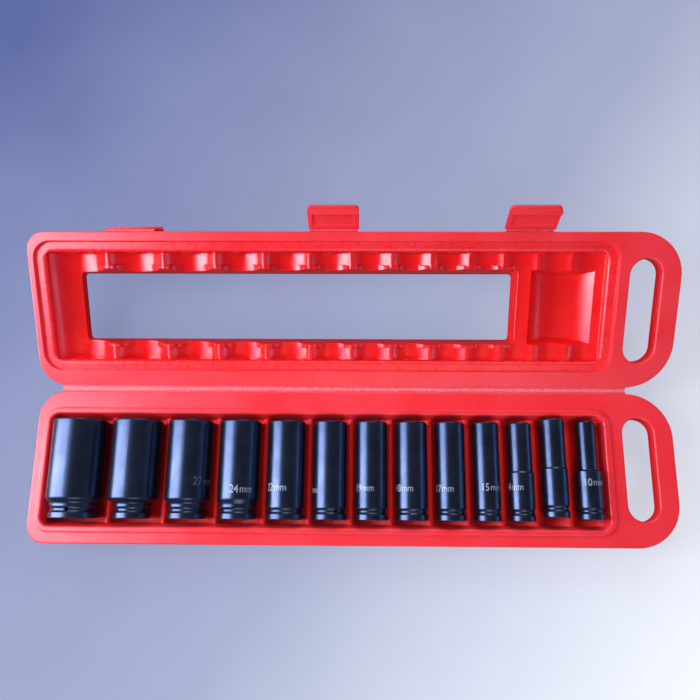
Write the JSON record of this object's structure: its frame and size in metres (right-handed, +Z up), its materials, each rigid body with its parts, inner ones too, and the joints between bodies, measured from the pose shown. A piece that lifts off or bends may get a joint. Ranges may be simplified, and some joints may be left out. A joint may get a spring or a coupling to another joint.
{
  "type": "socket set carrying case",
  "caption": "Open blow-moulded carrying case with a windowed lid, snap latches, a loop handle and a row of deep impact sockets in pockets.",
  "frame": {"origin": "centre of the base's flat underside", "axes": "+Z up out of the base tray, +X along the row towards the carrying loop, -Y to the front, hinge at +Y"},
  "size_m": [0.5498, 0.2707, 0.1021],
  "materials": {
    "case_plastic": "red moulded polyethylene, softly glossy",
    "socket_steel": "dark blue-black oxide on steel, satin"
  },
  "bodies": {
    "base": {"base_tray": "case_plastic", "hinge_web": "case_plastic"},
    "lid": {"lid_shell": "case_plastic", "latch_web_left": "case_plastic", "latch_web_middle": "case_plastic", "latch_web_right": "case_plastic"},
    "latch_left": {"latch_left": "case_plastic"},
    "latch_middle": {"latch_middle": "case_plastic"},
    "latch_right": {"latch_right": "case_plastic"},
    "socket_32mm": {"socket_32mm": "socket_steel"},
    "socket_30mm": {"socket_30mm": "socket_steel"},
    "socket_27mm": {"socket_27mm": "socket_steel"},
    "socket_24mm": {"socket_24mm": "socket_steel"},
    "socket_22mm": {"socket_22mm": "socket_steel"},
    "socket_21mm": {"socket_21mm": "socket_steel"},
    "socket_19mm": {"socket_19mm": "socket_steel"},
    "socket_18mm": {"socket_18mm": "socket_steel"},
    "socket_17mm": {"socket_17mm": "socket_steel"},
    "socket_15mm": {"socket_15mm": "socket_steel"},
    "socket_14mm": {"socket_14mm": "socket_steel"},
    "socket_13mm": {"socket_13mm": "socket_steel"},
    "socket_10mm": {"socket_10mm": "socket_steel"}
  },
  "joints": [
    {"name": "lid_hinge", "type": "hinge", "parent": "base", "child": "lid", "pos_m": [0, 0.068, 0.03], "axis": [-1, 0, 0], "range_deg": [-156.75, 23.15], "deforming": ["hinge_web"]},
    {"name": "latch_left_hinge", "type": "hinge", "parent": "lid", "child": "latch_left", "pos_m": [-0.1878, 0.1941, 0.07874], "axis": [-1, 0, 0], "range_deg": [-180, 0], "deforming": ["latch_web_left"]},
    {"name": "latch_middle_hinge", "type": "hinge", "parent": "lid", "child": "latch_middle", "pos_m": [-0.0161, 0.1941, 0.07874], "axis": [-1, 0, 0], "range_deg": [-43.5, 136.5], "deforming": ["latch_web_middle"]},
    {"name": "latch_right_hinge", "type": "hinge", "parent": "lid", "child": "latch_right", "pos_m": [0.147, 0.1941, 0.07874], "axis": [-1, 0, 0], "range_deg": [-43.5, 136.5], "deforming": ["latch_web_right"]},
    {"name": "socket_32mm_lift", "type": "slide", "parent": "base", "child": "socket_32mm", "axis": [0, 0, 1], "range_m": [0, 0.08]},
    {"name": "socket_30mm_lift", "type": "slide", "parent": "base", "child": "socket_30mm", "axis": [0, 0, 1], "range_m": [0, 0.08]},
    {"name": "socket_27mm_lift", "type": "slide", "parent": "base", "child": "socket_27mm", "axis": [0, 0, 1], "range_m": [0, 0.08]},
    {"name": "socket_24mm_lift", "type": "slide", "parent": "base", "child": "socket_24mm", "axis": [0, 0, 1], "range_m": [0, 0.08]},
    {"name": "socket_22mm_lift", "type": "slide", "parent": "base", "child": "socket_22mm", "axis": [0, 0, 1], "range_m": [0, 0.08]},
    {"name": "socket_21mm_lift", "type": "slide", "parent": "base", "child": "socket_21mm", "axis": [0, 0, 1], "range_m": [0, 0.08]},
    {"name": "socket_19mm_lift", "type": "slide", "parent": "base", "child": "socket_19mm", "axis": [0, 0, 1], "range_m": [0, 0.08]},
    {"name": "socket_18mm_lift", "type": "slide", "parent": "base", "child": "socket_18mm", "axis": [0, 0, 1], "range_m": [0, 0.08]},
    {"name": "socket_17mm_lift", "type": "slide", "parent": "base", "child": "socket_17mm", "axis": [0, 0, 1], "range_m": [0, 0.08]},
    {"name": "socket_15mm_lift", "type": "slide", "parent": "base", "child": "socket_15mm", "axis": [0, 0, 1], "range_m": [0, 0.08]},
    {"name": "socket_14mm_lift", "type": "slide", "parent": "base", "child": "socket_14mm", "axis": [0, 0, 1], "range_m": [0, 0.08]},
    {"name": "socket_13mm_lift", "type": "slide", "parent": "base", "child": "socket_13mm", "axis": [0, 0, 1], "range_m": [0, 0.08]},
    {"name": "socket_10mm_lift", "type": "slide", "parent": "base", "child": "socket_10mm", "axis": [0, 0, 1], "range_m": [0, 0.08]}
  ]
}
